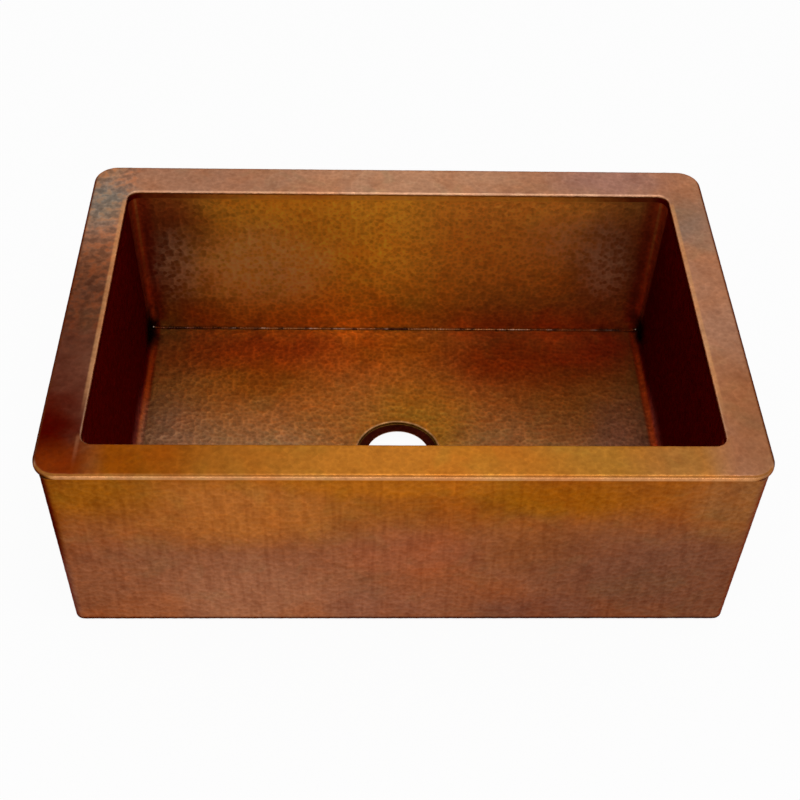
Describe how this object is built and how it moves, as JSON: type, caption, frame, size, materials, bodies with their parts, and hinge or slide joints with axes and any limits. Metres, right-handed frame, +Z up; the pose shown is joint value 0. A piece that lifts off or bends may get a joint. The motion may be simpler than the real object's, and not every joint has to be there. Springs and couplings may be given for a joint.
{
  "type": "farmhouse apron front sink",
  "caption": "Single-bowl farmhouse kitchen sink of hammered copper sheet, with a wide flat rim, a plain apron front and a recessed drain hole.",
  "frame": {"origin": "middle of the footprint, at the height of the apron's foot", "axes": "+X along the sink to the right of someone facing the apron, +Y from the apron to the back, +Z up"},
  "size_m": [0.8382, 0.5588, 0.286],
  "materials": {
    "rim_copper": "hammered copper sheet with a warm tan-brown patina, satin",
    "bowl_copper": "hammered copper sheet with a dark amber to maroon patina, satin",
    "apron_copper": "hammered copper sheet, amber patina fading to mauve brown towards the foot, satin",
    "weld_copper": "ground copper filler metal with dark pits, satin"
  },
  "bodies": {
    "root": {"basin_floor_and_sides": "bowl_copper", "basin_front_wall": "bowl_copper", "basin_back_wall": "bowl_copper", "rim_front": "rim_copper", "rim_back": "rim_copper", "rim_left": "rim_copper", "rim_right": "rim_copper", "apron": "apron_copper", "weld_rim_front_left": "weld_copper", "weld_rim_front_right": "weld_copper", "weld_rim_back_left": "weld_copper", "weld_rim_back_right": "weld_copper", "weld_opening_front": "weld_copper", "weld_opening_back": "weld_copper", "weld_opening_left": "weld_copper", "weld_opening_right": "weld_copper", "weld_corner_front_left": "weld_copper", "weld_corner_front_right": "weld_copper", "weld_corner_back_left": "weld_copper", "weld_corner_back_right": "weld_copper", "weld_floor_front": "weld_copper", "weld_floor_back": "weld_copper", "weld_apron_top": "weld_copper", "weld_apron_foot_left": "weld_copper", "weld_apron_foot_right": "weld_copper", "weld_apron_return_left": "weld_copper", "weld_apron_return_right": "weld_copper"}
  },
  "joints": []
}
